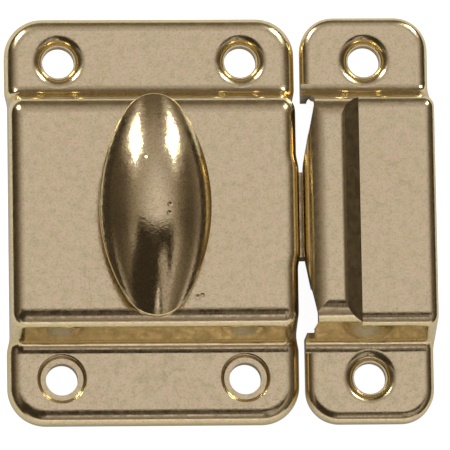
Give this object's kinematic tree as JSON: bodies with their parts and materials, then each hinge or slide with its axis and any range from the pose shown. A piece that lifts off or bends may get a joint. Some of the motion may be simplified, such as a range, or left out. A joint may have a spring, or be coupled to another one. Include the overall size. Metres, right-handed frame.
{
  "type": "cupboard turn",
  "caption": "Surface-mounted cupboard turn: oval knob on a pressed plated case works a sprung latch bolt that hooks under a separate pressed strike with a rolled lip.",
  "frame": {"origin": "middle of the case's four screw holes, on the plane of the door", "axes": "+X from the case to the strike, the way the bolt stands out; +Y up along the height of both plates; +Z out of the door to the knob"},
  "size_m": [0.0535, 0.0516, 0.0165],
  "materials": {
    "plated_sheet": "bright plated",
    "plated_knob": "polished plated",
    "plated_bolt": "plated",
    "plain_steel": "zinc plated",
    "turned_steel": "turned",
    "spring_steel": "drawn wire"
  },
  "bodies": {
    "case": {"case_cover": "plated_sheet", "back_plate": "plain_steel", "strike": "plated_sheet", "bolt_spring": "spring_steel"},
    "knob": {"knob_shell": "plated_knob", "knob_back": "plated_knob", "spindle": "turned_steel", "thrust_washer": "turned_steel", "cam": "plain_steel"},
    "bolt": {"latch_bolt": "plated_bolt"}
  },
  "joints": [
    {"name": "bolt_slide", "type": "slide", "parent": "case", "child": "bolt", "axis": [-1, 0, 0], "range_m": [0, 0.0044], "stiffness_N_per_m": 300, "springref_m": -0.003, "deforming": ["bolt_spring"]},
    {"name": "knob_turn", "type": "hinge", "parent": "case", "child": "knob", "pos_m": [0, 0, 0], "axis": [0, 0, -1], "range_deg": [0, 70]}
  ],
  "couplings": [
    {"joint": "knob_turn", "follows": "bolt_slide", "rad_per_m": 277.78}
  ]
}
